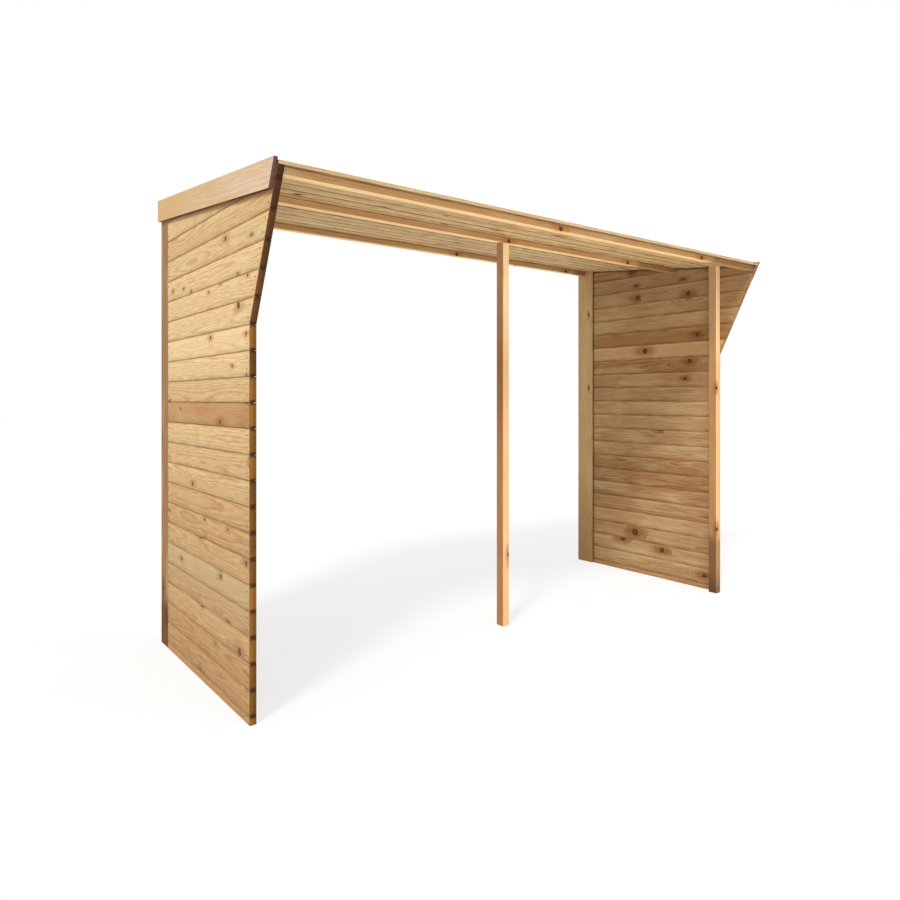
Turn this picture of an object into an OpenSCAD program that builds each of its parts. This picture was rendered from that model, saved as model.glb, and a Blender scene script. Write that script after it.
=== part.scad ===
// Log store: two boarded side walls with forward-leaning upper fronts, joined by
// three purlins and a boarded roof. Front and back are open, and it has no floor.
// Millimetres, +Z up, front towards -Y. The origin is on the ground, under the
// middle of the whole store.

/* [Bay] */
// Clear width between the two side walls
bay_w = 2340; // [1800:10:2800]
// Depth of the side walls at the ground, from front edge to rear board ends
wall_depth = 808; // [700:1:950]
// Height of the kink, where the front edges of the walls start to lean forward
kink_h = 1153; // [1050:1:1220]
// Height of the roof's top face at its front edge
front_h = 1571; // [1500:1:1640]
// How far the roof's front edge stands forward of the walls' feet
flare_out = 200; // [120:1:240]
// Slope of the roof, rising to the rear, in degrees
roof_pitch = 6.4; // [3:0.1:9]

/* [Wall boards] */
// Thickness of a wall board
board_t = 20; // [15:0.5:22]
// Height that one board covers, from shoulder to shoulder
board_cover = 75.2; // [60:0.2:100]
// Thickness of the tongue
tongue_t = 5; // [4:0.5:6]
// Height of the tongue above its shoulder
tongue_h = 6; // [4:0.5:8]
// Width of the chamfer on each edge of the outer face
vee = 2.5; // [1:0.5:3.5]

/* [Roof boards] */
// Thickness of a roof board
roof_t = 10; // [9:0.5:14]
// Cover of a roof board, up the slope, that the equal boards come nearest to
roof_cover = 155; // [110:1:180]
// Thickness of a roof board's tongue
roof_tongue_t = 3.5; // [3:0.5:4]
// Height of a roof board's tongue
roof_tongue_h = 5; // [4:0.5:7]
// Width of the chamfer on each edge of the roof's lower face
roof_vee = 1.5; // [0.5:0.5:2.5]
// Depth of the V-groove along the middle of a roof board's lower face
roof_bead = 1.5; // [0.5:0.5:2.5]

/* [Purlins] */
// Width of a purlin, up the slope
purlin_w = 44; // [34:1:55]
// Depth of a purlin, square to the roof
purlin_h = 24; // [20:1:45]
// Distance up the slope from the roof's front edge to the front purlin
front_purlin_set = 14; // [12:1:45]
// Level distance from the roof's front edge to the middle purlin
middle_purlin_set = 432; // [400:1:520]
// Level distance from the rear purlin to the rear faces of the rear posts
rear_purlin_inset = 16; // [8:1:50]

/* [Posts] */
// Width of a front or middle post, across the store
post_w = 34; // [28:1:50]
// Depth of a front or middle post, from front to rear
post_d = 42; // [34:1:50]
// Distance of the left front post behind the wall's front edge
left_post_set = 120; // [100:1:140]
// Distance of the right front post behind the wall's front edge, less than 0 when it
// stands proud of the boards' ends
right_post_set = -13; // [-15:1:140]
// Width of a rear post, from the wall's outer face inwards
rear_post_w = 32; // [28:1:80]
// Depth of a rear post that shows behind the ends of the wall boards
rear_post_strip = 91; // [60:1:110]
// Overlap of the wall boards into the rebate of a rear post
rear_post_lap = 12; // [10:1:35]
// Radius of the rounded arrises along the posts and purlins
arris = 4; // [2:0.5:6]

/* [Bargeboards] */
// Thickness of a bargeboard
barge_t = 12; // [10:0.5:20]
// Width of a bargeboard, square to the roof
barge_w = 80; // [60:1:110]
// Height of a bargeboard's top edge above the roof, square to the roof
barge_rise = 8; // [2:1:20]
// Distance of a bargeboard's front end behind the leaning front edge of its wall
barge_set = 6; // [0:1:40]
// Distance that a bargeboard runs past the rear posts
barge_tail = 2; // [2:1:30]

/* [Fits] */
// Gap left between two boards for the timber to swell
swell_gap = 1.2; // [0.4:0.1:2]
// Gap on each side of a tongue in its groove
tongue_gap = 0.3; // [0.2:0.1:0.5]
// Spare depth of a groove past the tip of its tongue
groove_spare = 2.5; // [0.5:0.5:4]
// Gap between two pieces that are nailed together
fit_gap = 0.3; // [0.2:0.1:0.5]
// Smallest strip that is ripped from a wall board to fill a height
min_rip = 12; // [10:1:20]

/* [Hidden] */
slope = tan(roof_pitch);
slope_cos = cos(roof_pitch);
lean = flare_out / (front_h - kink_h);

// Planes of the walls, measured from the middle of the store
inner_x = bay_w / 2;
outer_x = inner_x + board_t;

// Depths, measured from the front edges of the walls at the ground
roof_front_y = -flare_out;
rear_y = wall_depth + rear_post_strip;
barge_rear_y = rear_y + barge_tail;
rear_post_front_y = wall_depth - rear_post_lap;
middle_purlin_y = roof_front_y + middle_purlin_set;
rear_purlin_y = rear_y - rear_purlin_inset - purlin_w * slope_cos;

// Heights square to the roof, below its top face
purlin_top_n = -roof_t - fit_gap;
purlin_foot_n = purlin_top_n - purlin_h;

// Heights at the walls' front edge line, y = 0, of planes that rise with the roof
roof_top_0 = front_h + flare_out * slope;
roof_under_0 = roof_top_0 - roof_t / slope_cos;
seat_0 = roof_under_0 - fit_gap / slope_cos;
purlin_under_0 = roof_top_0 + (purlin_foot_n - fit_gap) / slope_cos;
barge_top_0 = roof_top_0 + barge_rise / slope_cos;
barge_foot_0 = barge_top_0 - barge_w / slope_cos;

// Height at y of a plane that rises with the roof from height z0 at y = 0
function rise_z(z0, y) = z0 + slope * y;

// Point [y, z] where the leaning front edge meets such a plane
function lean_point(z0) =
    let (z = (z0 + slope * lean * kink_h) / (1 + slope * lean))
    [-lean * (z - kink_h), z];

// Courses of boards: whole boards are counted from the kink, down and up
lower_n = ceil((kink_h - min_rip) / board_cover);
wall_rear_top = rise_z(seat_0, wall_depth);
upper_n = ceil((wall_rear_top - kink_h - min_rip) / board_cover);

// Roof boards share the slope equally, and are counted up it from the front edge
roof_len = (rear_y - roof_front_y) / slope_cos;
roof_n = round(roof_len / roof_cover);
roof_share = roof_len / roof_n;

// The most forward point is the roof's front edge, or the bargeboards' top corner
front_y = min(roof_front_y, lean_point(barge_top_0)[0] + barge_set);
centre_y = (front_y + barge_rear_y) / 2;

board_colour = "#DDB987";
inner_colour = "#9A7A50";
post_colour = "#C9A06B";
rear_post_colour = "#A57F57";
purlin_colour = "#C49563";
roof_colour = "#C4AA7B";
barge_colour = "#E0C39B";

// ---- Shared shapes ----

// Section of one tongued and grooved board, as points [across, up]. The chamfered
// face is at across = 0, and the lower shoulder at up = 0. A plain edge has neither
// groove or tongue nor chamfer. A bead is the depth of a V-groove along the middle of
// the chamfered face.
function board_section(thick, cover, tongue, reach, chamfer, bead, grooved, tongued) =
    let (
        mid = thick / 2,
        top = tongued ? cover - swell_gap : cover,
        half_groove = tongue / 2 + tongue_gap,
        depth = reach - swell_gap + groove_spare,
        foot = grooved
            ? [[chamfer, 0], [mid - half_groove, 0], [mid - half_groove, depth],
               [mid + half_groove, depth], [mid + half_groove, 0], [thick, 0]]
            : [[0, 0], [thick, 0]],
        head = tongued
            ? [[thick, top], [mid + tongue / 2, top], [mid + tongue / 2, top + reach],
               [mid - tongue / 2, top + reach], [mid - tongue / 2, top], [chamfer, top],
               [0, top - chamfer]]
            : [[thick, top], [0, top]],
        vee_groove = bead > 0
            ? [[0, cover / 2 + bead], [bead, cover / 2], [0, cover / 2 - bead]]
            : [],
        last = grooved ? [[0, chamfer]] : []
    )
    concat(foot, head, vee_groove, last);

// Section of planed timber with rounded arrises, its corner at the origin
module planed(width, depth) {
    translate([arris, 0])
        square([width - 2 * arris, depth]);
    translate([0, arris])
        square([width, depth - 2 * arris]);
    for (x = [arris, width - arris], y = [arris, depth - arris])
        translate([x, y])
            circle(r = arris, $fn = 24);
}

// Extrudes an outline of points [y, z] across the store, from x = 0 to x = width
module across(width) {
    rotate([90, 0, 90])
        linear_extrude(height = width)
            children();
}

// Extrudes an outline of points [x, z] from the front y0 to the rear y1
module front_to_rear(y0, y1) {
    translate([0, y1, 0])
        rotate([90, 0, 0])
            linear_extrude(height = y1 - y0)
                children();
}

// Moves from depths measured at the walls' front edges to the store's own origin
module in_store() {
    translate([0, -centre_y, 0])
        children();
}

// Frame of the roof: x across, y up the slope from the front edge, z square to the
// roof with its top face at 0
module on_roof() {
    in_store()
        translate([0, roof_front_y, front_h])
            rotate([roof_pitch, 0, 0])
                children();
}

// Puts a piece drawn for the left end at the left, or mirrored at the right
module at_end(side) {
    if (side == "left")
        in_store() children();
    else
        mirror([1, 0, 0])
            in_store() children();
}

// ---- Side walls ----

// One wall board of the left wall, standing on height z
module wall_board(y0, y1, z, cover, grooved, tongued) {
    translate([-outer_x, 0, z])
        front_to_rear(y0, y1)
            polygon(board_section(board_t, cover, tongue_t, tongue_h, vee, 0, grooved, tongued));
}

// Boards from the ground to the kink. The lowest is ripped to the height left over.
module lower_boards() {
    for (i = [1:lower_n]) {
        lowest = i == lower_n;
        foot = lowest ? 0 : kink_h - i * board_cover;
        head = kink_h - (i - 1) * board_cover;
        wall_board(0, wall_depth, foot, head - foot, !lowest, true);
    }
}

// Outline of the wall above the kink: the leaning front edge, the slope of the roof
// and the plumb rear ends
module upper_outline() {
    polygon([[0, kink_h], [wall_depth, kink_h],
             [wall_depth, wall_rear_top], lean_point(seat_0)]);
}

// Boards above the kink, cut to the leaning front edge and to the roof's slope
module upper_boards() {
    intersection() {
        for (i = [1:upper_n]) {
            highest = i == upper_n;
            wall_board(roof_front_y, wall_depth, kink_h + (i - 1) * board_cover,
                       highest ? board_cover + min_rip : board_cover, true, !highest);
        }
        translate([-outer_x, 0, 0])
            across(board_t)
                upper_outline();
    }
}

module left_wall_boards() {
    color(board_colour) at_end("left") lower_boards();
}

module left_flare_boards() {
    color(board_colour) at_end("left") upper_boards();
}

module right_wall_boards() {
    color(inner_colour) at_end("right") lower_boards();
}

module right_flare_boards() {
    color(inner_colour) at_end("right") upper_boards();
}

// ---- Posts ----

// Post from the ground up, its top cut to a plane at height top_0 that rises with the
// roof. x and y are its left front corner.
module cut_post(x, y, width, depth, top_0) {
    intersection() {
        translate([x, y, 0])
            linear_extrude(height = rise_z(top_0, y + depth))
                planed(width, depth);
        translate([x, 0, 0])
            across(width)
                polygon([[y, 0], [y + depth, 0],
                         [y + depth, rise_z(top_0, y + depth)], [y, rise_z(top_0, y)]]);
    }
}

// Rear post with a rebate in its outer front corner for the ends of the wall boards
module rear_post() {
    depth = rear_y - rear_post_front_y;
    difference() {
        cut_post(-outer_x, rear_post_front_y, rear_post_w, depth, seat_0);
        translate([-outer_x - 1, rear_post_front_y - 1, -1])
            cube([board_t + fit_gap + 1, rear_post_lap + fit_gap + 1, front_h + rear_y]);
    }
}

// Front post against the inner face of a wall
module front_post(setback) {
    cut_post(-inner_x + fit_gap, setback, post_w, post_d, seat_0);
}

module rear_left_post() {
    color(rear_post_colour) at_end("left") rear_post();
}

module rear_right_post() {
    color(rear_post_colour) at_end("right") rear_post();
}

module front_left_post() {
    color(post_colour) at_end("left") front_post(left_post_set);
}

module front_right_post() {
    color(post_colour) at_end("right") front_post(right_post_set);
}

// Post under the middle of the middle purlin
module middle_post() {
    color(post_colour)
        in_store()
            cut_post(-post_w / 2, middle_purlin_y + (purlin_w - post_d) / 2,
                     post_w, post_d, purlin_under_0);
}

// ---- Purlins ----

// Purlin of a given length under the roof boards, at distance up_slope from the front
module purlin(length, up_slope) {
    color(purlin_colour)
        on_roof()
            translate([-length / 2, up_slope, purlin_foot_n])
                across(length)
                    planed(purlin_w, purlin_h);
}

module front_purlin() {
    purlin(bay_w - 2 * fit_gap, front_purlin_set);
}

module middle_purlin() {
    purlin(bay_w - 2 * fit_gap, middle_purlin_set / slope_cos);
}

module rear_purlin() {
    purlin(2 * (outer_x - rear_post_w - fit_gap), (rear_purlin_y - roof_front_y) / slope_cos);
}

// ---- Roof ----

// Board i of the roof, counted from the front. It runs over both walls, with its
// chamfered and beaded face down. The front edge of the first and the rear edge of the last
// are plain.
module roof_board(i) {
    first = i == 1;
    last = i == roof_n;
    section = board_section(roof_t, roof_share, roof_tongue_t, roof_tongue_h, roof_vee,
                            roof_bead, !first, !last);
    color(roof_colour)
        on_roof()
            translate([-outer_x, (i - 1) * roof_share, -roof_t])
                across(2 * outer_x)
                    polygon([for (p = section) [p[1], p[0]]]);
}

// Bargeboard over the ends of the roof boards: its front end leans as the edge of the
// wall does, a little behind it, and its rear end is plumb
module bargeboard() {
    set_back = barge_set * [1, slope];
    translate([-outer_x - fit_gap - barge_t, 0, 0])
        across(barge_t)
            polygon([lean_point(barge_foot_0) + set_back,
                     [barge_rear_y, rise_z(barge_foot_0, barge_rear_y)],
                     [barge_rear_y, rise_z(barge_top_0, barge_rear_y)],
                     lean_point(barge_top_0) + set_back]);
}

module left_bargeboard() {
    color(barge_colour) at_end("left") bargeboard();
}

module right_bargeboard() {
    color(barge_colour) at_end("right") bargeboard();
}

left_wall_boards();
left_flare_boards();
right_wall_boards();
right_flare_boards();
rear_left_post();
rear_right_post();
front_left_post();
front_right_post();
middle_post();
front_purlin();
middle_purlin();
rear_purlin();
left_bargeboard();
right_bargeboard();
for (i = [1:roof_n])
    roof_board(i);
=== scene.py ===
"""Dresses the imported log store: treated softwood, nail heads, a pale studio and the camera."""

import logging
import math
from collections.abc import Iterator
from dataclasses import dataclass, replace
from enum import Enum

import bpy
from mathutils import Matrix, Vector


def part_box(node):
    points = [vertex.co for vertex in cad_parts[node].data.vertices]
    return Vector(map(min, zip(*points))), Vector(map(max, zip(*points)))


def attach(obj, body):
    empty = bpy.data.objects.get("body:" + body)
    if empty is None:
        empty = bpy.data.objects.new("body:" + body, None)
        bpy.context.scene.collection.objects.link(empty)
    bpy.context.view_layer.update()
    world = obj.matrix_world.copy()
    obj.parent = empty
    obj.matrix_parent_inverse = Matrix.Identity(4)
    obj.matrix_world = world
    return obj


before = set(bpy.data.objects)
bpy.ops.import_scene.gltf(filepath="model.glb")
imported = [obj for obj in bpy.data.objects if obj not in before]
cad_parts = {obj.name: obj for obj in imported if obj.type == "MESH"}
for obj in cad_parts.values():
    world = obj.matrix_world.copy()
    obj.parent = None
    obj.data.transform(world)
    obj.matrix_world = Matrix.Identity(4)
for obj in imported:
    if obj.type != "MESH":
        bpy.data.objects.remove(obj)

LOG = logging.getLogger("log_store")

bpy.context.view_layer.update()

Tree = bpy.types.NodeTree
Socket = bpy.types.NodeSocket
Value = float | tuple[float, ...] | Socket | None
Span = tuple[float, float]
Triple = tuple[float, float, float]

# Sizes of the construction that boxes don't tell, in metres
KINK_HEIGHT = 1.153
LEAN = 0.200 / 0.418
BOARD_COVER = 0.0752
ROOF_FRONT_HEIGHT = 1.571
ROOF_THICKNESS = 0.010
ROOF_PITCH = math.radians(6.4)
ROOF_RISE = math.tan(ROOF_PITCH)
ROOF_BOARDS = 7
# How far a bargeboard hangs below the wall's top
BARGE_DROP = 0.062
PURLINS = ("front_purlin", "middle_purlin", "rear_purlin")

# Settings that several nodes share
COLOURS = {"data_type": "RGBA"}
DARKEN = {**COLOURS, "blend_type": "MULTIPLY"}
SMOOTH = {"interpolation_type": "SMOOTHSTEP"}

# Metres of tree between two boards, between their knots and between two sides of a post
BOARDS_APART = 37.0
KNOTS_APART = 3.1
SIDES_APART = 0.35

# Noise: what each finer layer keeps of the one before, where most values lie, and between
# which values fibres, clouds of stain and worn joints show
NOISE_KEEP = 0.55
NOISE_SPAN = (0.3, 0.7)
FIBRE_SPAN = (0.35, 0.7)
CLOUD_SPAN = (0.48, 0.72)
WEAR_SPAN = (0.35, 0.65)

# Cosines that tell an end, a post's side, the other face, a board's edge and a groove's wall
END_COSINE = 0.6
SIDE_COSINE = 0.7
OTHER_COSINES = (0.45, 0.85)
EDGE_COSINES = (0.75, 0.95)
GROOVE_COSINES = (0.3, 0.6)

# Round a knot, in its radii: its own edge, its halo and the rings that it pushes aside
KNOT_EDGE = (0.8, 1.08)
HALO_REACH = (0.8, 3.0)
PUSH_REACH = (0.0, 5.0)
PUSH = 2.0
# What a length along the grain counts for in a knot's oval and the flow round it
KNOT_OVALS = (0.85, 0.4)
# A distance past any knot's reach, for places that have none
NO_KNOT = 50.0
# Between which radii heart turns to bark, and the bark's share there
BARK = (0.35, 0.95, 0.1, 0.9)

# Linear factors over 1, by which a multiplying mix paints a highlight on a board's edge by a joint
PAINTED_EDGE_HIGHLIGHT = (1.35, 1.32, 1.25, 1.0)
# Sawn ends: what rings and stains add to their dark wood and what is taken off, and in metres
# where dirt and painted shade start and are full before a joint, and shade behind the outer face
END_RINGS, END_STAINS, END_LESS = 0.5, 0.6, 0.5
END_DIRT_AND_SHADE = (0.010, 0.002)
END_BACK = (0.006, 0.012)

WHITE = (1.0, 1.0, 1.0, 1.0)


def linear(hex_colour: str) -> tuple[float, float, float, float]:
    """Turns an sRGB hex colour to the linear values that a shader takes.

    Args:
        hex_colour: The colour as "#RRGGBB".

    Returns:
        Linear red, green, blue and an alpha of 1.
    """
    channels = [int(hex_colour[i:i + 2], 16) / 255 for i in (1, 3, 5)]
    red, green, blue = (
        c / 12.92 if c <= 0.04045 else ((c + 0.055) / 1.055) ** 2.4 for c in channels
    )
    return red, green, blue, 1.0


def add(tree: Tree, kind: str, *inputs: Value, **settings: object) -> Socket | None:
    """Adds a node with its settings, values and links.

    Args:
        tree: The node tree to add to.
        kind: The node's type, without the leading "ShaderNode".
        inputs: Values or sockets for its available inputs, in order; None keeps a default.
        settings: Attributes to set on the node first.

    Returns:
        The node's first available output, or None for an output node.
    """
    node = tree.nodes.new("ShaderNode" + kind)
    for name, value in settings.items():
        setattr(node, name, value)
    sockets = [socket for socket in node.inputs if socket.enabled]
    for socket, value in zip(sockets, inputs):
        if isinstance(value, Socket):
            tree.links.new(value, socket)
        elif value is not None:
            socket.default_value = value
    return next((socket for socket in node.outputs if socket.enabled), None)


class Direction(Enum):
    """Directions of the part's frame that timber runs or faces along."""

    ACROSS = Vector((1, 0, 0))
    BACK = Vector((0, 1, 0))
    UP = Vector((0, 0, 1))
    LEFT = Vector((-1, 0, 0))
    FRONT = Vector((0, -1, 0))
    UP_SLOPE = Vector((0, math.cos(ROOF_PITCH), math.sin(ROOF_PITCH)))
    OFF_ROOF = Vector((0, -math.sin(ROOF_PITCH), math.cos(ROOF_PITCH)))
    UNDER_ROOF = Vector((0, math.sin(ROOF_PITCH), -math.cos(ROOF_PITCH)))


@dataclass(frozen=True)
class OddBoard:
    """A board of another colour, by its course above the kink. Stains leave least of it."""

    course: int
    colour: str
    share: float
    least: float = 0.6


@dataclass(frozen=True)
class PlacedKnot:
    """A knot at a known place along, across and through a node. Lengths are in metres."""

    along: float
    across: float
    through: float
    radius: float


class Faces(Enum):
    """The faces of a node that a shade darkens."""

    ALL = "all"
    MAIN = "all but the other face"
    OTHER = "the other face"


@dataclass(frozen=True)
class Shade:
    """Darker wood, dirt and painted shade: none at start, and its whole share at full and past it.

    Both are in metres, along the grain or from an edge.
    """

    start: float
    full: float
    share: float
    colour: str
    faces: Faces = Faces.ALL

    def moved(self, by: float) -> "Shade":
        """Returns the same shade, that far along."""
        return replace(self, start=self.start + by, full=self.full + by)


# Painted shade under the roof and painted shadow under a bargeboard, by the distance below the
# wall's top
UNDER_ROOF_SHADE = Shade(0.014, 0.003, 0.85, "#4A301C", Faces.OTHER)
UNDER_BARGE_SHADOW = Shade(BARGE_DROP + 0.020, BARGE_DROP, 0.8, "#8A6038", Faces.MAIN)
# A wall's soaked front edge, by the distance behind it
FRONT_DIRT = Shade(0.006, 0.001, 0.75, "#4A3418")
# In front of a rear post, and past a purlin's last knot
POST_SHADOW = Shade(-0.016, 0.0, 0.75, "#2E1E10", Faces.OTHER)
PURLIN_SHADE = Shade(0.04, 0.10, 0.7, "#7C5229")


@dataclass(frozen=True)
class Lay:
    """How timber lies in a node, where its boards meet and what darkens it.

    The origin lies where boards meet. A wall has painted shade under the roof and painted
    shadow under the bargeboard, by its roof_line, the height of its top at Y 0, and a soaked
    front edge, where front gives that edge's Y below the kink.
    """

    grain: Direction
    width: Direction
    origin: Vector
    seed: float
    other_face: Direction
    cover: float = 0.0
    beaded: bool = False
    odd_boards: tuple[OddBoard, ...] = ()
    knots: tuple[PlacedKnot, ...] = ()
    shades: tuple[Shade, ...] = ()
    roof_line: float | None = None
    front: float | None = None

    def turn(self) -> Matrix:
        """Returns the rotation that takes grain, width and thickness to X, Y and Z."""
        grain, width = self.grain.value, self.width.value
        return Matrix((grain, width, grain.cross(width)))


@dataclass(frozen=True)
class Tone:
    """Early and late wood of one face, as sRGB hex."""

    early: str
    late: str


@dataclass(frozen=True)
class Knots:
    """Knots of a timber grade: share is knots to a cell, and lengths are in metres."""

    cell: float = 0.105
    share: float = 0.42
    small: float = 0.004
    large: float = 0.016
    scatter: float = 0.9
    ragged: float = 0.006
    heart: str = "#6E4023"
    bark: str = "#351B0E"
    halo: str = "#B07A40"
    halo_share: float = 0.6
    rings: float = 14.0
    ring_contrast: float = 0.12


@dataclass(frozen=True)
class DampAndShade:
    """Timber darker towards the ground, by height in metres: painted shade on the front and middle
    posts.
    """

    full: float
    gone: float
    share: float
    ragged: float
    colour: str = "#A67B4C"


@dataclass(frozen=True)
class Joint:
    """Dirt and painted shade in the joints between boards, its width in metres, and painted
    highlights beside it.
    """

    width: float
    share: float
    colour: str = "#5E4022"
    light: float = 0.45
    least: float = 0.2
    groove: float = 0.9
    bead: float = 0.8


@dataclass(frozen=True)
class Log:
    """The log that boards are cut from, with lengths in metres.

    The pith lies aside from a board's middle and under its face, by a chance times the
    first number plus the second. The rings sweep slowly and waver.
    """

    pith_aside: Span = (0.10, -0.05)
    pith_under: Span = (0.045, 0.018)
    sweep: float = 0.05
    waver: float = 0.003
    late_wood: Span = (0.3, 0.88)
    ring_edge: Span = (0.9, 1.0)


@dataclass(frozen=True)
class Relief:
    """What fibres, hairs, rings and knots add to the height, and its depth in metres."""

    fibre: float = 0.5
    hair: float = 0.25
    ring: float = 0.2
    knot: float = 0.4
    strength: float = 0.4
    depth: float = 0.0012


@dataclass(frozen=True)
class TreatedSoftwood:
    """Planed spruce, pressure treated: honey to olive tan, matt, with dark knots.

    The rings are about twice as far apart as in real spruce, because finer rings would
    not show.
    """

    name: str
    face: Tone
    other: Tone
    end: Tone = Tone("#7C5629", "#3B2511")
    knots: Knots = Knots()
    damp_and_shade: DampAndShade | None = None
    joint: Joint = Joint(0.011, 0.55)
    log: Log = Log()
    relief: Relief = Relief()
    end_shade: float = 0.0
    # Dirt and painted shade at the ends' joints, in this colour
    end_dirt_and_shade: float = 0.9
    soak_and_shade: str = "#2C1A0B"
    tint: str = "#CDBF8C"
    tint_share: float = 0.35
    dark_board: str = "#C79E74"
    board_change: float = 0.3
    ring: float = 0.0055
    ring_contrast: float = 0.5
    fibre_contrast: float = 0.55
    hair_contrast: float = 0.35
    bare: float = 0.15
    roughness: Span = (0.60, 0.80)
    ior: float = 1.5
    specular: float = 0.12

    def material(self, lay: Lay) -> bpy.types.Material:
        """Builds the finish for timber that lies as given.

        Args:
            lay: Grain, width and courses of the timber.

        Returns:
            The new material.
        """
        material = bpy.data.materials.new(self.name)
        material.use_nodes = True
        material.node_tree.nodes.clear()
        SoftwoodGraph(material.node_tree, self, lay).build()
        return material


class Pattern(Enum):
    """Noise in the wood: cycles a metre along and across the grain, and layers of detail.

    A real fibre, 0.03 mm wide, would not show, so they are drawn as bundles 4 mm wide and
    hairs 1 mm wide.
    """

    FIBRE = (14, 230, 3.0)
    HAIR = (30, 900, 2.0)
    STAIN = (3.2, 14, 2.0)
    RAGGED = (90, 90, 2.0)
    SWEEP = (1.3, 2.0, 1.0)
    WAVER = (14, 50, 1.0)
    WEAR = (7, 0.1, 3.0)


@dataclass
class SoftwoodGraph:
    """Node graph of one softwood finish: rings, knots, fibres, stains and end grain."""

    tree: Tree
    finish: TreatedSoftwood
    lay: Lay

    def add(self, kind: str, *inputs: Value, **settings: object) -> Socket | None:
        """Adds a node to this graph, as add does."""
        return add(self.tree, kind, *inputs, **settings)

    def build(self) -> None:
        """Builds the whole graph."""
        self.place()
        self.number_boards()
        self.grow_knots()
        self.grow_rings()
        self.fibre = self.streaks(Pattern.FIBRE)
        self.hair = self.streaks(Pattern.HAIR)
        self.stain = self.streaks(Pattern.STAIN)
        colour = self.joints(self.knotted(self.shaded(self.stained(self.planed()))))
        colour = self.add("Mix", self.end_face, colour, self.end_grain(), **COLOURS)
        rough = self.add("MapRange", self.fibre, *NOISE_SPAN, *self.finish.roughness)
        relief = self.finish.relief
        normal = self.add("Bump", relief.strength, relief.depth, None, self.surface())
        shader = self.tree.nodes.new("ShaderNodeBsdfPrincipled")
        shader.inputs["IOR"].default_value = self.finish.ior
        shader.inputs["Specular IOR Level"].default_value = self.finish.specular
        for name, value in (("Base Color", colour), ("Roughness", rough), ("Normal", normal)):
            self.tree.links.new(value, shader.inputs[name])
        self.add("OutputMaterial", shader.outputs["BSDF"])

    def place(self) -> None:
        """Finds the point along, across and through the timber, and the sawn ends."""
        lay, turn = self.lay, self.lay.turn()
        coordinates = self.tree.nodes.new("ShaderNodeTexCoord")
        self.normal = coordinates.outputs["Normal"]
        _, self.depth, self.height = self.parts(coordinates.outputs["Object"])
        self.along, self.across, self.through = self.parts(self.add(
            "Mapping", coordinates.outputs["Object"],
            tuple(-(turn @ lay.origin)), tuple(turn.to_euler()),
        ))
        self.reach = self.along
        self.spot = self.add("CombineXYZ", self.along, self.across, self.through)
        slant = self.add("Math", self.facing(lay.grain.value), operation="ABSOLUTE")
        self.end_face = self.add("Math", slant, END_COSINE, operation="GREATER_THAN")

    def parts(self, vector: Socket) -> tuple[Socket, Socket, Socket]:
        """Returns the three numbers of a vector or a colour."""
        return tuple(self.add("SeparateXYZ", vector).node.outputs)

    def facing(self, way: Vector) -> Socket:
        """Returns the cosine between the face's normal and a way."""
        cosine = self.add("VectorMath", self.normal, tuple(way), operation="DOT_PRODUCT")
        return cosine.node.outputs["Value"]

    def number_boards(self) -> None:
        """Numbers the boards and cuts each from its own stretch of the tree."""
        lay = self.lay
        if lay.cover:
            steps = self.add("Math", self.across, lay.cover, operation="DIVIDE")
            self.course = self.add("Math", steps, operation="FLOOR")
            middle = self.add(
                "Math", self.course, lay.cover, lay.cover / 2, operation="MULTIPLY_ADD",
            )
            self.across = self.add("Math", self.across, middle, operation="SUBTRACT")
        else:
            self.course = self.add("Value")
        board = self.add("Math", self.course, lay.seed, operation="ADD")
        chance = self.add("TexWhiteNoise", board, noise_dimensions="1D").node
        first, self.second, self.third = self.parts(chance.outputs["Color"])
        self.along = self.add("Math", first, BOARDS_APART, self.along, operation="MULTIPLY_ADD")
        self.point = self.add("CombineXYZ", self.along, self.across, self.through)

    def streaks(self, pattern: Pattern) -> Socket:
        """Draws noise that is stretched along the grain.

        Args:
            pattern: Its frequencies and detail.

        Returns:
            The noise.
        """
        along, across, detail = pattern.value
        scaled = self.add("VectorMath", self.point, (along, across, across), operation="MULTIPLY")
        return self.add("TexNoise", scaled, 1.0, detail, NOISE_KEEP, noise_dimensions="3D")

    def grow_knots(self) -> None:
        """Scatters knots, where branches are cut across, on a share of the cells."""
        knots = self.finish.knots
        across = self.across
        if not self.lay.cover:
            # Square timber shows round knots on all four sides
            side = self.add("Math", self.facing(self.lay.width.value), operation="ABSOLUTE")
            side = self.add("Math", side, SIDE_COSINE, operation="GREATER_THAN")
            apart = self.add("Math", self.through, SIDES_APART, operation="ADD")
            across = self.add("Mix", side, across, apart)
        across = self.add("Math", self.second, KNOTS_APART, across, operation="MULTIPLY_ADD")
        here = self.add("CombineXYZ", self.along, across, 0.0)
        cells = self.add("VectorMath", here, (1 / knots.cell,) * 3, operation="MULTIPLY")
        spots = self.add(
            "TexVoronoi", cells, 1.0, None, None, None, knots.scatter,
            voronoi_dimensions="2D", feature="F1",
        ).node
        chance, size, _ = self.parts(spots.outputs["Color"])
        absent = self.add("Math", chance, knots.share, operation="GREATER_THAN")
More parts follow.
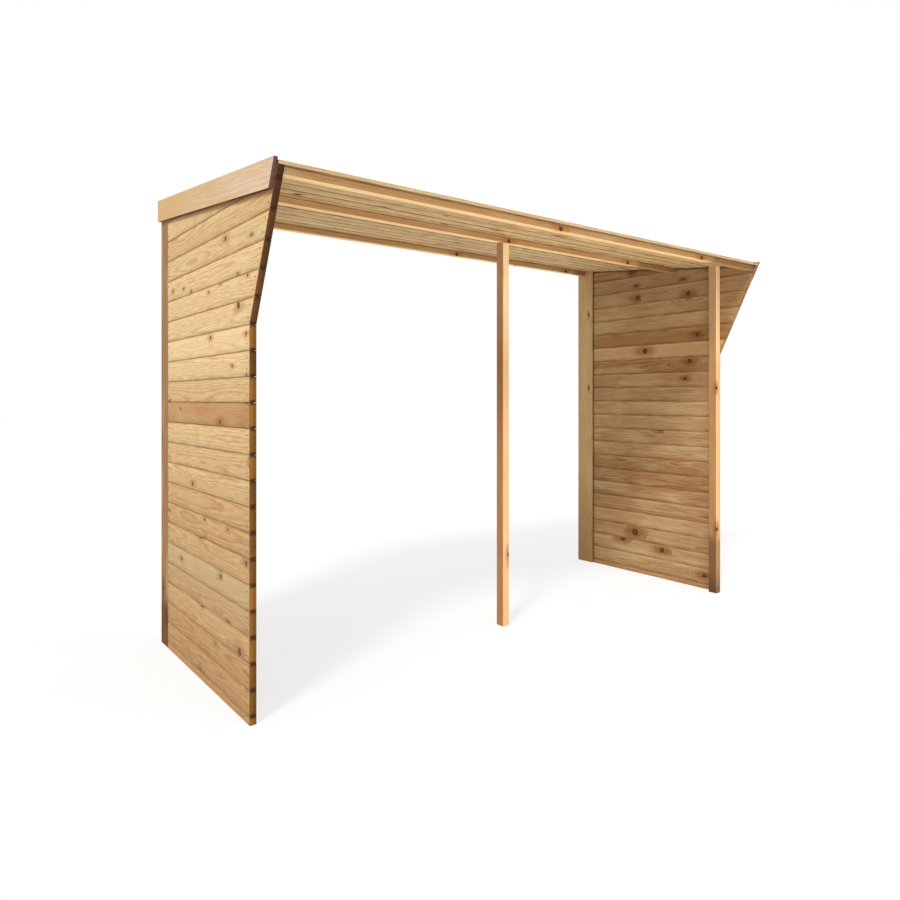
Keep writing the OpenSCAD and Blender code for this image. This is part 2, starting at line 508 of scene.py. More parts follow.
        # Squared, so that small knots are more common
        spread = self.add("Math", size, 2.0, operation="POWER")
        radius = self.add("MapRange", spread, 0.0, 1.0, knots.small, knots.large)
        middle = self.add(
            "VectorMath", spots.outputs["Position"], (knots.cell,) * 3, operation="MULTIPLY",
        )
        away = self.add("VectorMath", here, middle, operation="SUBTRACT")
        ragged = self.add("Math", self.streaks(Pattern.RAGGED), 0.5, operation="SUBTRACT")
        ragged = self.add("Math", ragged, knots.ragged, operation="MULTIPLY")
        self.knot_far, flow = (
            self.add("Math", absent, NO_KNOT, far, operation="MULTIPLY_ADD")
            for far in self.away_from(away, ragged, radius)
        )
        self.push = self.pushed(flow, radius)
        for knot in self.lay.knots:
            middle = (knot.along, knot.across, knot.through)
            away = self.add("VectorMath", self.spot, middle, operation="SUBTRACT")
            far, around = self.away_from(away, ragged, knot.radius)
            self.knot_far = self.add("Math", self.knot_far, far, operation="MINIMUM")
            push = self.pushed(around, knot.radius)
            self.push = self.add("Math", self.push, push, operation="ADD")
            flow = self.add("Math", flow, around, operation="MINIMUM")
        self.knot = self.near(self.knot_far, *KNOT_EDGE)
        self.halo = self.near(flow, *HALO_REACH)

    def away_from(self, away: Socket, ragged: Socket, radius: Value) -> list[Socket]:
        """Measures how far off a knot's middle is, in radii.

        Args:
            away: The way from the knot's middle.
            ragged: What makes its outline uneven.
            radius: The knot's radius.

        Returns:
            The distance for the knot's own oval, and for the flow round it.
        """
        through = 0.0 if self.lay.cover else 1.0
        distances = []
        for stretch in KNOT_OVALS:
            squeezed = self.add("VectorMath", away, (stretch, 1.0, through), operation="MULTIPLY")
            distance = self.add("VectorMath", squeezed, operation="LENGTH").node.outputs["Value"]
            distance = self.add("Math", distance, ragged, operation="ADD")
            distances.append(self.add("Math", distance, radius, operation="DIVIDE"))
        return distances

    def near(self, far: Socket, full: float, gone: float) -> Socket:
        """Returns 1 inside the distance full and 0 past gone."""
        return self.add("MapRange", far, full, gone, 1.0, 0.0, **SMOOTH)

    def pushed(self, flow: Socket, radius: Value) -> Socket:
        """Returns how far a knot pushes the growth rings aside."""
        push = self.add("Math", self.near(flow, *PUSH_REACH), radius, operation="MULTIPLY")
        return self.add("Math", push, PUSH, operation="MULTIPLY")

    def grow_rings(self) -> None:
        """Cuts the board from a log: growth rings round a pith, bent by the knots."""
        log = self.finish.log
        pith = self.add("Math", self.second, *log.pith_aside, operation="MULTIPLY_ADD")
        under = self.add("Math", self.third, *log.pith_under, operation="MULTIPLY_ADD")
        aside = self.add("Math", self.across, pith, operation="SUBTRACT")
        below = self.add("Math", self.through, under, operation="ADD")
        flat = self.add("CombineXYZ", aside, below, 0.0)
        radius = self.add("VectorMath", flat, operation="LENGTH").node.outputs["Value"]
        # The trunk's slow sweep draws long arches on the face
        for pattern, size in ((Pattern.SWEEP, log.sweep), (Pattern.WAVER, log.waver)):
            bend = self.streaks(pattern)
            radius = self.add("Math", bend, size, radius, operation="MULTIPLY_ADD")
        radius = self.add("Math", radius, self.push, operation="SUBTRACT")
        turns = self.add("Math", radius, self.finish.ring, operation="DIVIDE")
        turn = self.add("Math", turns, operation="FRACT")
        darkens = self.add("MapRange", turn, *log.late_wood, 0.0, 1.0, **SMOOTH)
        stops = self.add("MapRange", turn, *log.ring_edge, 0.0, 1.0, **SMOOTH)
        self.ring = self.add("Math", darkens, stops, operation="SUBTRACT")

    def planed(self) -> Socket:
        """Colours the faces by their rings and fibres.

        Returns:
            The wood's colour, with painted light and shade in the tones of posts, purlins and
            bargeboards.
        """
        finish = self.finish
        streak = self.add("MapRange", self.fibre, *FIBRE_SPAN, 0.0, finish.fibre_contrast)
        streak = self.add("Math", self.hair, finish.hair_contrast, streak, operation="MULTIPLY_ADD")
        grain = self.add("Math", self.ring, finish.ring_contrast, streak, operation="MULTIPLY_ADD")
        grain = self.add("Math", grain, finish.bare, operation="SUBTRACT")
        face, other = (
            self.add("Mix", grain, linear(tone.early), linear(tone.late), **COLOURS)
            for tone in (finish.face, finish.other)
        )
        # On posts and purlins the two tones are painted light and shade of one wood; a bargeboard's
        # underside is painted shade
        turned = self.facing(self.lay.other_face.value)
        self.turned = self.add("MapRange", turned, *OTHER_COSINES, 0.0, 1.0, **SMOOTH)
        return self.add("Mix", self.turned, face, other, **COLOURS)

    def shaded(self, face: Socket) -> Socket:
        """Adds the darker stretches, the painted shade under the roof and the bargeboard, and the
        dirt at the front edge.

        Args:
            face: The colour so far.

        Returns:
            The shaded colour.
        """
        for shade in self.lay.shades:
            face = self.darkened(face, shade, self.reach)
        if self.lay.roof_line is not None:
            line = self.lay.roof_line
            top = self.add("Math", self.depth, ROOF_RISE, line, operation="MULTIPLY_ADD")
            below = self.add("Math", top, self.height, operation="SUBTRACT")
            # Painted shade under the roof and painted shadow under the bargeboard
            for dirt_and_shade in (UNDER_ROOF_SHADE, UNDER_BARGE_SHADOW):
                face = self.darkened(face, dirt_and_shade, below)
        if self.lay.front is not None:
            rise = self.add("Math", self.height, KINK_HEIGHT, operation="SUBTRACT")
            rise = self.add("Math", rise, 0.0, operation="MAXIMUM")
            upright = self.add("Math", rise, LEAN, self.depth, operation="MULTIPLY_ADD")
            face = self.darkened(face, FRONT_DIRT.moved(self.lay.front), upright)
        return face

    def darkened(self, face: Socket, shade: Shade, place: Socket) -> Socket:
        """Darkens one stretch of the wood.

        Args:
            face: The colour so far.
            shade: The stretch, its colour and its faces.
            place: What the stretch is measured by, in metres.

        Returns:
            The darkened colour.
        """
        share = self.add("MapRange", place, shade.start, shade.full, 0.0, shade.share)
        if shade.faces is not Faces.ALL:
            on_face = self.turned
            if shade.faces is Faces.MAIN:
                on_face = self.add("Math", 1.0, self.turned, operation="SUBTRACT")
            share = self.add("Math", share, on_face, operation="MULTIPLY")
        return self.add("Mix", share, face, linear(shade.colour), **COLOURS)

    def stained(self, face: Socket) -> Socket:
        """Adds each board's own tone, the stains, and the darkening towards the ground, which on
        the front and middle posts is painted shade.

        Args:
            face: The colour so far.

        Returns:
            The stained colour.
        """
        finish = self.finish
        tone = self.add("Math", self.third, finish.board_change, operation="MULTIPLY")
        face = self.add("Mix", tone, face, linear(finish.dark_board), **DARKEN)
        cloud = self.add("MapRange", self.stain, *CLOUD_SPAN, 0.0, finish.tint_share)
        face = self.add("Mix", cloud, face, linear(finish.tint), **COLOURS)
        for board in self.lay.odd_boards:
            chosen = self.add("Math", self.course, float(board.course), 0.1, operation="COMPARE")
            least = board.share * board.least
            uneven = self.add("MapRange", self.stain, *NOISE_SPAN, board.share, least)
            share = self.add("Math", chosen, uneven, operation="MULTIPLY")
            face = self.add("Mix", share, face, linear(board.colour), **COLOURS)
        # Darker towards the ground; on the front and middle posts this is painted shade
        if finish.damp_and_shade:
            damp_and_shade = finish.damp_and_shade
            edge = self.add("Math", self.stain, -damp_and_shade.ragged, self.height, operation="MULTIPLY_ADD")
            share = self.add("MapRange", edge, damp_and_shade.full, damp_and_shade.gone, damp_and_shade.share, 0.0)
            face = self.add("Mix", share, face, linear(damp_and_shade.colour), **DARKEN)
        return face

    def knotted(self, face: Socket) -> Socket:
        """Adds the knots, dark at the bark and ringed inside.

        Args:
            face: The colour so far.

        Returns:
            The colour with the knots and their halos.
        """
        knots = self.finish.knots
        flow = self.add("Math", self.halo, knots.halo_share, operation="MULTIPLY")
        face = self.add("Mix", flow, face, linear(knots.halo), **DARKEN)
        rings = self.add("Math", self.knot_far, knots.rings, operation="MULTIPLY")
        rings = self.add("Math", rings, operation="SINE")
        rim = self.add("MapRange", self.knot_far, *BARK, **SMOOTH)
        rim = self.add("Math", rings, knots.ring_contrast, rim, operation="MULTIPLY_ADD")
        heart = self.add("Mix", rim, linear(knots.heart), linear(knots.bark), **COLOURS)
        return self.add("Mix", self.knot, face, heart, **COLOURS)

    def joints(self, face: Socket) -> Socket:
        """Adds dirt and painted shade in the joints, most of it in the other face's grooves, and
        painted highlights beside them.

        Args:
            face: The colour so far.

        Returns:
            The colour with the joints, or as it was where there are no boards.
        """
        joint, half = self.finish.joint, self.lay.cover / 2
        if not half:
            return face
        slant = self.add("Math", self.facing(self.lay.width.value), operation="ABSOLUTE")
        level = self.add("MapRange", slant, *EDGE_COSINES, 1.0, 0.0)
        # Dirt and painted shade on the walls of the other face's grooves
        groove = self.add("MapRange", slant, *GROOVE_COSINES, 0.0, joint.groove)
        groove = self.add("Math", groove, self.turned, operation="MULTIPLY")
        wear = self.streaks(Pattern.WEAR)
        uneven = self.add("MapRange", wear, *WEAR_SPAN, joint.least, 1.0)
        # Painted highlight on each board's edge beside the joint
        light = self.add(
            "MapRange", self.across, half - joint.width * 1.5, half - joint.width * 0.5,
            0.0, joint.light, **SMOOTH,
        )
        light = self.add("Math", light, level, operation="MULTIPLY")
        face = self.add("Mix", light, face, PAINTED_EDGE_HIGHLIGHT, **DARKEN)
        # Dirt and painted shade along the joint
        dirt_and_shade = self.add("MapRange", self.across, joint.width - half, -half, 0.0, 1.0)
        above = self.add("MapRange", self.across, half - joint.width * 0.5, half, 0.0, 1.0)
        dirt_and_shade = self.add("Math", dirt_and_shade, above, operation="ADD")
        if self.lay.beaded:
            bead = self.add("Math", self.across, operation="ABSOLUTE")
            bead = self.add("MapRange", bead, joint.width * 0.5, 0.0, 0.0, joint.bead)
            dirt_and_shade = self.add("Math", bead, self.turned, dirt_and_shade, operation="MULTIPLY_ADD")
        for factor in (uneven, level, joint.share):
            dirt_and_shade = self.add("Math", dirt_and_shade, factor, operation="MULTIPLY")
        dirt_and_shade = self.add("Math", dirt_and_shade, groove, operation="MAXIMUM")
        return self.add("Mix", dirt_and_shade, face, linear(joint.colour), **COLOURS)

    def end_grain(self) -> Socket:
        """Colours the sawn ends: each its own tone, soaked dark, blackest at the joints with dirt
        and painted shade.

        Returns:
            The ends' colour.
        """
        finish, end = self.finish, self.finish.end
        share = self.add("Math", self.ring, END_RINGS, self.second, operation="MULTIPLY_ADD")
        share = self.add("Math", self.stain, END_STAINS, share, operation="MULTIPLY_ADD")
        share = self.add("Math", share, END_LESS, operation="SUBTRACT")
        colour = self.add("Mix", share, linear(end.early), linear(end.late), **COLOURS)
        if self.lay.cover:
            # Darker towards the back, and dirt and painted shade at the joints
            edge = self.add("Math", self.across, operation="ABSOLUTE")
            start, full = (self.lay.cover / 2 - gap for gap in END_DIRT_AND_SHADE)
            dirt_and_shade = self.add("MapRange", edge, start, full, 0.0, finish.end_dirt_and_shade)
            depth = self.add("Math", self.through, operation="ABSOLUTE")
            inner = self.add("MapRange", depth, *END_BACK, 0.0, finish.end_shade, **SMOOTH)
            for share in (inner, dirt_and_shade):
                colour = self.add("Mix", share, colour, linear(finish.soak_and_shade), **COLOURS)
        return colour

    def surface(self) -> Socket:
        """Raises the surface: open fibres, raised late wood and proud knots.

        Returns:
            The height, as a share of the relief's depth.
        """
        relief = self.finish.relief
        height = self.add("Math", self.fibre, relief.fibre, operation="MULTIPLY")
        for form, share in (
            (self.hair, relief.hair), (self.ring, relief.ring), (self.knot, relief.knot),
        ):
            height = self.add("Math", form, share, height, operation="MULTIPLY_ADD")
        return height


@dataclass(frozen=True)
class DulledZinc:
    """Galvanised wire nails, pressed and weathered: dark brownish grey, half matt."""

    name: str = "dulled_galvanised_steel"
    bright: str = "#6B5E50"
    dull: str = "#352A20"
    grit: float = 900.0
    metallic: float = 0.6
    roughness: Span = (0.45, 0.75)

    def material(self) -> bpy.types.Material:
        """Builds the finish.

        Returns:
            The new material.
        """
        material = bpy.data.materials.new(self.name)
        material.use_nodes = True
        tree = material.node_tree
        shader = tree.nodes["Principled BSDF"]
        shader.inputs["Metallic"].default_value = self.metallic
        place = tree.nodes.new("ShaderNodeTexCoord").outputs["Object"]
        bloom = add(tree, "TexNoise", place, self.grit, 2.0)
        colour = add(tree, "Mix", bloom, linear(self.bright), linear(self.dull), **COLOURS)
        rough = add(tree, "MapRange", bloom, *NOISE_SPAN, *self.roughness)
        tree.links.new(colour, shader.inputs["Base Color"])
        tree.links.new(rough, shader.inputs["Roughness"])
        return material


@dataclass(frozen=True)
class NailPlace:
    """Where a nail head sits and which way it faces."""

    point: Vector
    facing: Vector


@dataclass
class NailHeads:
    """Flat round nail heads driven flush with the timber's face, raised inside the rim."""

    material: bpy.types.Material
    radius: float = 0.0028
    rim: float = 0.0007
    stand: float = 0.0003
    shank: float = 0.003
    sides: int = 10

    def model(self) -> bpy.types.Object:
        """Models one nail head at the origin, facing up.

        Returns:
            The nail head.
        """
        bpy.ops.object.select_all(action="DESELECT")
        bpy.ops.mesh.primitive_cylinder_add(
            vertices=self.sides, radius=self.radius, depth=self.shank,
            location=(0, 0, self.stand - self.shank / 2),
        )
        head = bpy.context.object
        bpy.ops.object.mode_set(mode="EDIT")
        bpy.ops.mesh.select_all(action="DESELECT")
        bpy.ops.object.mode_set(mode="OBJECT")
        for face in head.data.polygons:
            face.select = face.normal.z > 0.9
        bpy.ops.object.mode_set(mode="EDIT")
        bpy.ops.mesh.inset(thickness=self.rim)
        bpy.ops.transform.translate(value=(0, 0, self.stand))
        bpy.ops.object.mode_set(mode="OBJECT")
        return head

    def drive(self, name: str, places: Iterator[NailPlace]) -> None:
        """Copies the head to every place and joins the copies to one piece on the store.

        Args:
            name: The piece's name.
            places: Where the nails are driven.
        """
        head = self.model()
        copies = []
        for place in places:
            copy = head.copy()
            copy.data = head.data.copy()
            turn = place.facing.to_track_quat("Z", "Y").to_matrix().to_4x4()
            copy.data.transform(Matrix.Translation(place.point) @ turn @ head.matrix_basis)
            copy.matrix_basis = Matrix()
            bpy.context.collection.objects.link(copy)
            copies.append(copy)
        bpy.data.objects.remove(head)
        bpy.ops.object.select_all(action="DESELECT")
        for copy in copies:
            copy.select_set(True)
        bpy.context.view_layer.objects.active = copies[0]
        bpy.ops.object.join()
        piece = bpy.context.object
        piece.name = name
        piece.data.materials.clear()
        piece.data.materials.append(self.material)
        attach(piece, "root")
        LOG.info("%s: %d nail heads", name, len(copies))


def dress(node: str, material: bpy.types.Material) -> None:
    """Gives a CAD node its finish in every material slot.

    Args:
        node: The node's name.
        material: The finish.
    """
    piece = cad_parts[node]
    if not piece.material_slots:
        piece.data.materials.append(material)
    for slot in piece.material_slots:
        slot.material = material
    LOG.info("%s: %s", node, material.name)


def middle_of(node: str) -> Vector:
    """Returns the middle of a node's box."""
    low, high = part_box(node)
    return (low + high) / 2


class Side(Enum):
    """The two ends of the store, by the sign of their X."""

    LEFT = -1
    RIGHT = 1

    def node(self, rest: str) -> str:
        """Returns the name of this side's node."""
        return f"{self.name.lower()}_{rest}"


@dataclass
class SideWall:
    """One boarded end wall: whole courses to the kink, and leaning ones above it."""

    side: Side
    finish: TreatedSoftwood
    flare_end: Tone
    seed: float
    odd_boards: tuple[OddBoard, ...] = ()
    knots: tuple[PlacedKnot, ...] = ()
    front_nails: float = 0.022
    rear_nails: float = 0.008
    lowest_nail: float = 0.008
    nails_below_top: float = 0.09
    nail_shares: Span = (0.27, 0.73)

    def __post_init__(self) -> None:
        """Reads the wall's boxes from the frame."""
        self.low, self.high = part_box(self.side.node("wall_boards"))
        _, self.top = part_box(self.side.node("flare_boards"))
        self.outer = self.low.x if self.side is Side.LEFT else self.high.x
        self.post_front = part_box(f"rear_{self.side.name.lower()}_post")[0].y

    def build(self) -> None:
        """Dresses the boards below and above the kink."""
        left = self.side is Side.LEFT
        lay = Lay(
            Direction.BACK, Direction.UP, Vector((self.outer, 0, KINK_HEIGHT)), self.seed,
            other_face=Direction.ACROSS if left else Direction.LEFT, cover=BOARD_COVER,
            odd_boards=self.odd_boards, knots=self.knots, roof_line=self.top_at(0.0),
            front=self.low.y if left else None, shades=(POST_SHADOW.moved(self.post_front),),
        )
        dress(self.side.node("wall_boards"), self.finish.material(lay))
        leaning = replace(self.finish, end=self.flare_end)
        dress(self.side.node("flare_boards"), leaning.material(lay))

    def front_at(self, height: float) -> float:
        """Returns the wall's front edge at a height."""
        return self.low.y - LEAN * max(0.0, height - KINK_HEIGHT)

    def top_at(self, depth: float) -> float:
        """Returns the height of the wall's top at a depth."""
        return self.top.z - (self.top.y - depth) * ROOF_RISE

    def nails(self) -> Iterator[NailPlace]:
        """Finds places for two nails a board near its front end and its rear end.

        Returns:
            The nails' places, one by one.
        """
        facing = Vector((self.side.value, 0, 0))
        lowest = -math.ceil(KINK_HEIGHT / BOARD_COVER)
        highest = math.ceil((self.top.z - KINK_HEIGHT) / BOARD_COVER)
        for course in range(lowest, highest):
            for share in self.nail_shares:
                height = KINK_HEIGHT + (course + share) * BOARD_COVER
                front = self.front_at(height) + self.front_nails
                for depth in (front, self.high.y - self.rear_nails):
                    if self.lowest_nail < height < self.top_at(depth) - self.nails_below_top:
                        yield NailPlace(Vector((self.outer, depth, height)), facing)


@dataclass(frozen=True)
class Post:
    """A post's node, finish and stretch of the tree, and its known knots and shades."""

    node: str
    finish: TreatedSoftwood
    seed: float
    knots: tuple[PlacedKnot, ...] = ()
    shades: tuple[Shade, ...] = ()

    def build(self) -> None:
        """Dresses the post."""
        lay = Lay(
            Direction.UP, Direction.ACROSS, middle_of(self.node), self.seed,
            other_face=Direction.FRONT, knots=self.knots, shades=self.shades,
        )
        dress(self.node, self.finish.material(lay))


@dataclass
class Framing:
    """Posts and purlins: planed square timber with rounded arrises.

    Each purlin has two known knots low in front, by their places along it.
    """

    posts: tuple[Post, ...]
    purlin: TreatedSoftwood
    purlin_seed: float = 31.0
    purlin_knots: tuple[Span, ...] = ((-0.11, 0.756), (0.017, 0.783), (0.214, 0.996))
    knot_through: float = -0.003
    knot_radius: float = 0.009

    def build(self) -> None:
        """Dresses every post and purlin, each from its own stretch of the tree."""
        for post in self.posts:
            post.build()
        for number, node in enumerate(PURLINS):
            low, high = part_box(node)
            front = (low.y - high.y) / 2
            knots = tuple(
                PlacedKnot(along, front, self.knot_through, self.knot_radius)
                for along in self.purlin_knots[number]
            )
            lay = Lay(
                Direction.ACROSS, Direction.UP_SLOPE, middle_of(node), self.purlin_seed + number,
                other_face=Direction.UNDER_ROOF, knots=knots,
                shades=(PURLIN_SHADE.moved(knots[-1].along),),
            )
            dress(node, self.purlin.material(lay))


@dataclass
class Roof:
    """Seven tongued boards on the purlins, and the bargeboards over their ends."""

    finish: TreatedSoftwood
    barge: TreatedSoftwood
    seed: float = 60.0
    barge_seed: float = 80.0
    barge_shade: Shade = Shade(-0.4, 0.3, 0.6, "#C79B5C", Faces.MAIN)
    nail_step: float = 0.26
    purlin_inset: float = 0.04
    end_inset: float = 0.009
    nail_shares: Span = (0.25, 0.75)

    def __post_init__(self) -> None:
        """Reads the roof's front edge and its boards' cover from the frame."""
        self.low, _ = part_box("roof_board_1")
        _, self.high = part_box(f"roof_board_{ROOF_BOARDS}")
        rear = self.high.y - ROOF_THICKNESS * math.sin(ROOF_PITCH)
        self.cover = (rear - self.low.y) / math.cos(ROOF_PITCH) / ROOF_BOARDS

    def build(self) -> None:
        """Dresses the roof boards and the bargeboards."""
        front = Vector((0, self.low.y, ROOF_FRONT_HEIGHT))
        lay = Lay(
            Direction.ACROSS, Direction.UP_SLOPE, front, self.seed,
            other_face=Direction.UNDER_ROOF, cover=self.cover, beaded=True,
        )
        material = self.finish.material(lay)
        for number in range(1, ROOF_BOARDS + 1):
            dress(f"roof_board_{number}", material)
        for side in Side:
            node = side.node("bargeboard")
            lay = Lay(
                Direction.UP_SLOPE, Direction.OFF_ROOF, middle_of(node),
                self.barge_seed + side.value, other_face=Direction.UNDER_ROOF,
                shades=(self.barge_shade,),
            )
            dress(node, self.barge.material(lay))

    def top_at(self, depth: float) -> float:
        """Returns the height of the roof's upper face at a depth."""
        return ROOF_FRONT_HEIGHT + (depth - self.low.y) * ROOF_RISE

    def nails(self) -> Iterator[NailPlace]:
        """Finds places for nails over each purlin and into the tops of both walls.

        Returns:
            The nails' places, one by one.
        """
        for node in PURLINS:
            low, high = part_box(node)
            depth = (low.y + high.y) / 2
            count = round((high.x - low.x) / self.nail_step)
            length = high.x - low.x - 2 * self.purlin_inset
            for number in range(count + 1):
                across = low.x + self.purlin_inset + number * length / count
                yield self.nail(across, depth)
        for number in range(ROOF_BOARDS):
            for share in self.nail_shares:
                depth = self.low.y + (number + share) * self.cover * math.cos(ROOF_PITCH)
                for across in (self.low.x + self.end_inset, self.high.x - self.end_inset):
                    yield self.nail(across, depth)

    def nail(self, across: float, depth: float) -> NailPlace:
        """Returns the place of a nail in the roof's upper face."""
        return NailPlace(Vector((across, depth, self.top_at(depth))), Direction.OFF_ROOF.value)


@dataclass
class Studio:
    """Pale floor, soft even light and the camera at the front left."""

    lens: float = 28.48
    shift: float = -0.056
    yaw: float = math.radians(37.24)
    eye: Triple = (-0.778, -1.972, 0.936)
    sky: float = 0.8
    key_power: float = 1.6
    key_angle: float = math.radians(12)
    key_way: Triple = (0.75, 0.45, -0.75)
    fill_power: float = 30.0
    fill_size: Span = (2.6, 1.0)
    fill_place: Triple = (0.2, -1.9, 0.15)
    fill_way: Triple = (0, 1.0, 0.75)
    floor_size: float = 60.0
    floor_drop: float = 0.0005
    floor_glow: float = 0.7
    paper: str = "#F2F2F0"

    def build(self) -> None:
        """Sets up floor, world, lamps and camera."""
        self.lay_floor()
        self.light_world()
        self.hang_lamps()
        self.place_camera()
        bpy.context.scene.view_settings.view_transform = "Standard"

    def shown_white(self, tree: Tree) -> Socket:
        """Tells the rays that show the background, straight or in a gloss or glass.

        Args:
            tree: The node tree to add to.

        Returns:
            1 for such rays, and 0 for those that light the store.
        """
        path = tree.nodes.new("ShaderNodeLightPath").outputs
        seen = add(tree, "Math", path["Is Camera Ray"], path["Is Glossy Ray"], operation="MAXIMUM")
        return add(tree, "Math", seen, path["Is Transmission Ray"], operation="MAXIMUM")

    def lay_floor(self) -> None:
        """Lays a wide floor that shows nearly white and keeps a soft shadow."""
        bpy.ops.object.select_all(action="DESELECT")
        bpy.ops.mesh.primitive_plane_add(size=self.floor_size, location=(0, 0, -self.floor_drop))
        floor = bpy.context.object
        floor.name = "studio_floor"
        material = bpy.data.materials.new("matt_white_paper")
        material.use_nodes = True
        tree = material.node_tree
        tree.nodes.clear()
        paper = add(tree, "BsdfDiffuse", linear(self.paper), 0.5)
        glow = add(tree, "Emission", WHITE, 1.0)
        share = add(tree, "Math", self.shown_white(tree), self.floor_glow, operation="MULTIPLY")
        add(tree, "OutputMaterial", add(tree, "MixShader", share, paper, glow))
        floor.data.materials.append(material)

    def light_world(self) -> None:
        """Lights the store evenly from all round, in front of a white background."""
        world = bpy.data.worlds.new("soft_white_sky")
        bpy.context.scene.world = world
        world.use_nodes = True
        tree = world.node_tree
        tree.nodes.clear()
        strength = add(tree, "MapRange", self.shown_white(tree), 0.0, 1.0, self.sky, 1.0)
        add(tree, "OutputWorld", add(tree, "Background", WHITE, strength))

    def hang_lamps(self) -> None:
        """Hangs a soft key at the front left and a low fill that reaches under the roof."""
        key = bpy.data.lights.new("key", "SUN")
        key.energy = self.key_power
        key.angle = self.key_angle
        self.hang(key, self.key_way)
        fill = bpy.data.lights.new("floor_fill", "AREA")
        fill.energy = self.fill_power
        fill.shape = "RECTANGLE"
        fill.size, fill.size_y = self.fill_size
        self.hang(fill, self.fill_way, self.fill_place)

    def hang(self, light: bpy.types.Light, way: Triple, place: Triple = (0, 0, 0)) -> None:
        """Hangs a lamp.

        Args:
            light: The lamp's light.
            way: Where it shines.
            place: Where it hangs.
        """
        lamp = bpy.data.objects.new(light.name, light)
        lamp.location = place
        lamp.rotation_euler = Vector(way).to_track_quat("-Z", "Y").to_euler()
        bpy.context.collection.objects.link(lamp)

    def place_camera(self) -> None:
        """Places the camera, by the left wall's foot at the front."""
        low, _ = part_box("left_wall_boards")
        data = bpy.data.cameras.new("camera")
        data.lens = self.lens
        data.shift_y = self.shift
        camera = bpy.data.objects.new("camera", data)
        camera.location = Vector((low.x, low.y, 0)) + Vector(self.eye)
        camera.rotation_euler = (math.pi / 2, 0, -self.yaw)
        bpy.context.collection.objects.link(camera)
        bpy.context.scene.camera = camera


# Knots of squared timber are small, dull and olive brown
SQUARED_KNOTS = Knots(share=0.2, small=0.004, large=0.012, heart="#5A4A2C", bark="#2C2616")

# Planed cladding: outer faces bleach to honey, sheltered inner faces stay brown
CLADDING = TreatedSoftwood(
    "planed_spruce_cladding", Tone("#E8CC9B", "#B98B55"), other=Tone("#BA9464", "#7A5A34"),
    end=Tone("#976627", "#4E2F11"), end_shade=0.35, damp_and_shade=DampAndShade(0.0, 1.0, 0.5, 0.1),
    knots=Knots(share=0.34, large=0.012, heart="#7E5026", bark="#4C2E14", halo_share=0.4),
    joint=Joint(0.018, 0.4, "#5A3C1A", light=0.25), ring_contrast=0.38, fibre_contrast=0.5,
)
# The right wall's boards have fewer and larger knots, stronger rings and cleaner ends
SHELTERED = replace(
    CLADDING, other=Tone("#C49E70", "#7F6140"), board_change=0.6, damp_and_shade=None,
    end=Tone("#A07A50", "#7A5838"), end_shade=0.0, end_dirt_and_shade=0.25, joint=Joint(0.014, 0.75),
    knots=Knots(cell=0.13, share=0.1, small=0.008, large=0.018), ring_contrast=0.5,
)
# Planed posts: painted light on the pale front, painted shade on the tan sides and lower down
POST = TreatedSoftwood(
    "planed_spruce_post", Tone("#CAA179", "#A37C56"), other=Tone("#FFE0B0", "#F4C68C"),
    knots=replace(SQUARED_KNOTS, share=0.1), damp_and_shade=DampAndShade(1.08, 1.32, 0.62, 0.03, "#D4B08A"),
    ring=0.007, ring_contrast=0.35, fibre_contrast=0.35, board_change=0.1,
)
# Planed corner posts: dull brown all round, with a soaked foot
CORNER = replace(
    POST, name="planed_spruce_corner_post", face=Tone("#A37B51", "#805835"),
    other=Tone("#B59C6C", "#876B42"), knots=replace(SQUARED_KNOTS, share=0.05),
    damp_and_shade=DampAndShade(0.1, 0.16, 0.9, 0.08, "#A5774F"), fibre_contrast=0.4,
)
# The right rear post is a little greener, and paler as painted light against the roof's shade
GREENER_CORNER_WITH_PAINTED_LIGHT = replace(
    CORNER, knots=SQUARED_KNOTS, face=Tone("#C8A87C", "#A58556"),
    other=Tone("#C9B282", "#98804F"), damp_and_shade=DampAndShade(0.0, 0.5, 0.5, 0.1),
)
# Planed purlins: painted light on the pale underside, painted shade on the tan front,
# few knots with orange halos
PURLIN = replace(
    POST, name="planed_spruce_purlin", face=Tone("#BE9464", "#986C41"),
    other=Tone("#FFDCA8", "#EDB678"), damp_and_shade=None, knots=replace(
        SQUARED_KNOTS, share=0.06, heart="#54402A", bark="#3E3020", halo="#F2CA9C",
        halo_share=0.8,
    ),
)
# Sawn roof boards: rough and streaky, with dark grooves and beads below
ROOFING = TreatedSoftwood(
    "sawn_spruce_roof_board", Tone("#D8C09A", "#B69361"), other=Tone("#F3D8A4", "#A37B44"),
    knots=Knots(share=0.2, large=0.012), joint=Joint(0.020, 1.0, "#402A16", 0.9, 0.55),
    ring=0.009, ring_contrast=0.45, fibre_contrast=0.85, board_change=0.3,
)
# Planed bargeboards: quiet, pinkish grain, and painted shade on the red brown underside
BARGE = TreatedSoftwood(
    "planed_spruce_bargeboard", Tone("#DAC2A6", "#BE9B74"), other=Tone("#7A463A", "#54302A"),
    end=Tone("#6E4A44", "#4E3230"), knots=Knots(share=0.0), tint="#CBA067", tint_share=0.35,
    ring=0.014, ring_contrast=0.25, fibre_contrast=0.4, board_change=0.1,
)

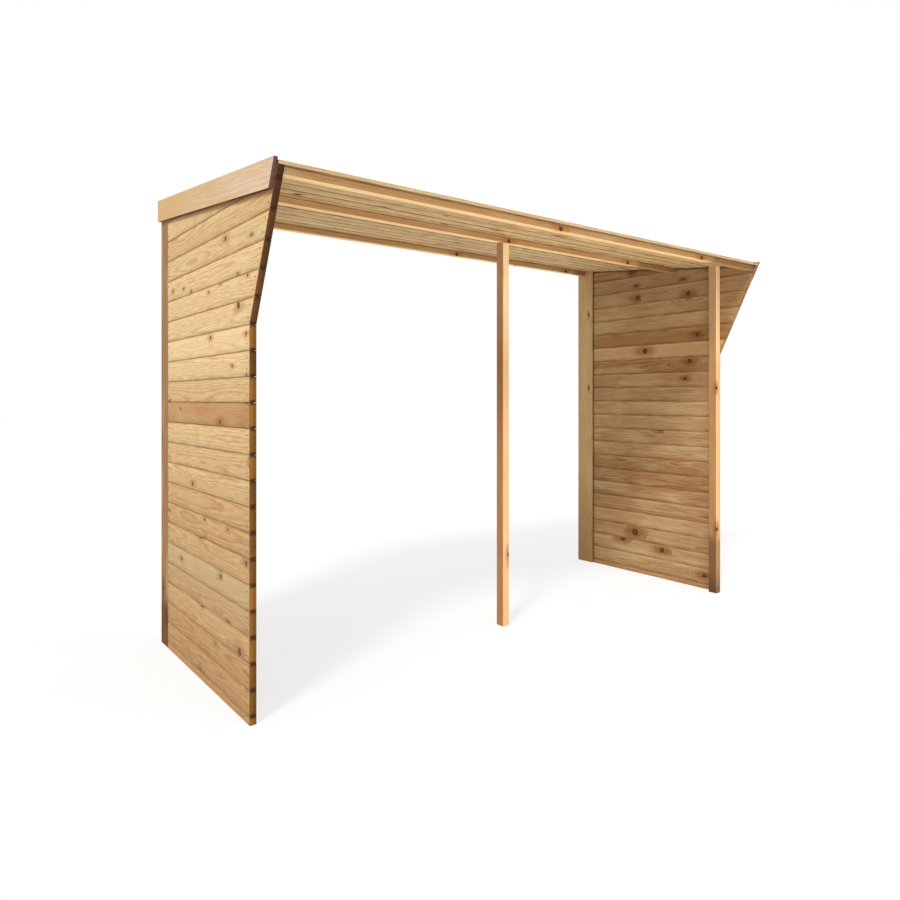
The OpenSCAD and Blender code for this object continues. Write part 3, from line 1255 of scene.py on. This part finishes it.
# The left wall's leaning boards have the darker ends
FLARE_END = Tone("#70451F", "#3C230E")
LEFT_ODD_BOARDS = (
    OddBoard(-4, "#AE7B48", 0.85), OddBoard(-1, "#F3D5A4", 0.5),
    OddBoard(-11, "#CFC7A0", 0.45), OddBoard(-12, "#CFC7A0", 0.2),
)
RIGHT_ODD_BOARDS = (
    OddBoard(5, "#A08660", 0.5), OddBoard(4, "#A08660", 0.4), OddBoard(1, "#9C754C", 0.45),
    OddBoard(0, "#D2AA76", 0.5), OddBoard(-3, "#86603C", 0.4),
)
RIGHT_KNOTS = (
    PlacedKnot(-0.185, 0.320, 0.0, 0.012), PlacedKnot(0.081, 0.042, 0.0, 0.014),
    PlacedKnot(-0.193, -0.022, 0.0, 0.012), PlacedKnot(-0.238, 0.109, 0.0, 0.009),
    PlacedKnot(-0.155, 0.396, 0.0, 0.006), PlacedKnot(0.137, 0.399, 0.0, 0.007),
)
POSTS = (
    Post("front_left_post", POST, 3.0),
    Post(
        "front_right_post", POST, 4.0,
        (PlacedKnot(0.199, -0.012, -0.021, 0.007), PlacedKnot(-0.483, -0.010, -0.021, 0.009)),
        # Painted shadow low on the front right post, darkest towards its foot
        (Shade(-0.50, -0.55, 0.55, "#2A1605"), Shade(-0.68, -0.78, 0.45, "#1E140A")),
    ),
    Post("middle_post", POST, 5.0),
    Post(
        "rear_left_post", CORNER, 21.0,
        (PlacedKnot(-0.629, -0.016, 0.020, 0.010), PlacedKnot(-0.054, -0.016, 0.046, 0.008)),
    ),
    Post("rear_right_post", GREENER_CORNER_WITH_PAINTED_LIGHT, 22.0),
)


def main() -> None:
    """Builds the store's finishes and nails, and the studio round it."""
    logging.basicConfig(level=logging.INFO)
    walls = (
        SideWall(Side.LEFT, CLADDING, FLARE_END, 11.0, LEFT_ODD_BOARDS),
        SideWall(Side.RIGHT, SHELTERED, SHELTERED.end, 47.0, RIGHT_ODD_BOARDS, RIGHT_KNOTS),
    )
    heads = NailHeads(DulledZinc().material())
    for wall in walls:
        wall.build()
        heads.drive(wall.side.node("wall_nails"), wall.nails())
    Framing(POSTS, PURLIN).build()
    roof = Roof(ROOFING, BARGE)
    roof.build()
    heads.drive("roof_nails", roof.nails())
    Studio().build()


if __name__ == "__main__":
    main()
